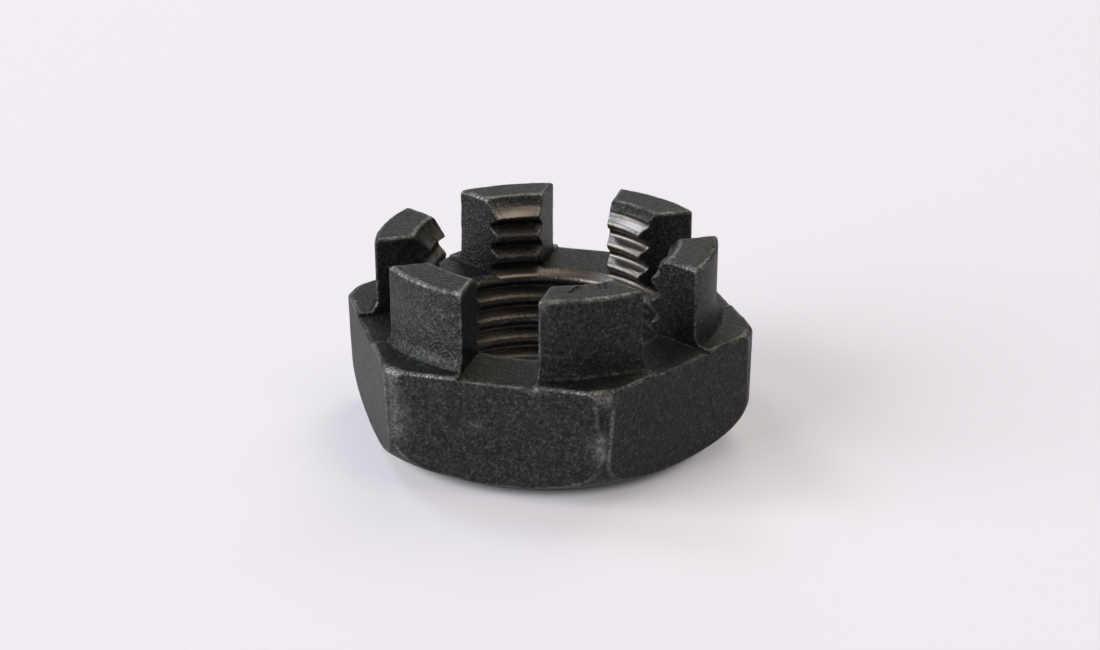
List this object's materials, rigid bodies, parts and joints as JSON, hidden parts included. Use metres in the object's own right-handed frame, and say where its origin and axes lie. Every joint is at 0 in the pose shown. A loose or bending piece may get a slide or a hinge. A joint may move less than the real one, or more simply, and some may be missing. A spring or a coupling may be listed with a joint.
{
  "type": "castle nut",
  "caption": "Thin hexagonal castle nut with a round slotted crown for a split pin, a threaded through bore and a chamfered bearing side.",
  "frame": {"origin": "centre of the bearing face, on the thread axis", "axes": "+Z along the thread axis from the bearing face towards the crown, two opposite corners of the hexagon on +X and -X, so two opposite slots open along +Y and -Y"},
  "size_m": [0.027, 0.024, 0.013],
  "materials": {
    "blackened_steel": "dark blackened steel with a fine blasted grain, matt, brighter where edges and thread are worn"
  },
  "bodies": {
    "root": {"castle_nut": "blackened_steel"}
  },
  "joints": []
}
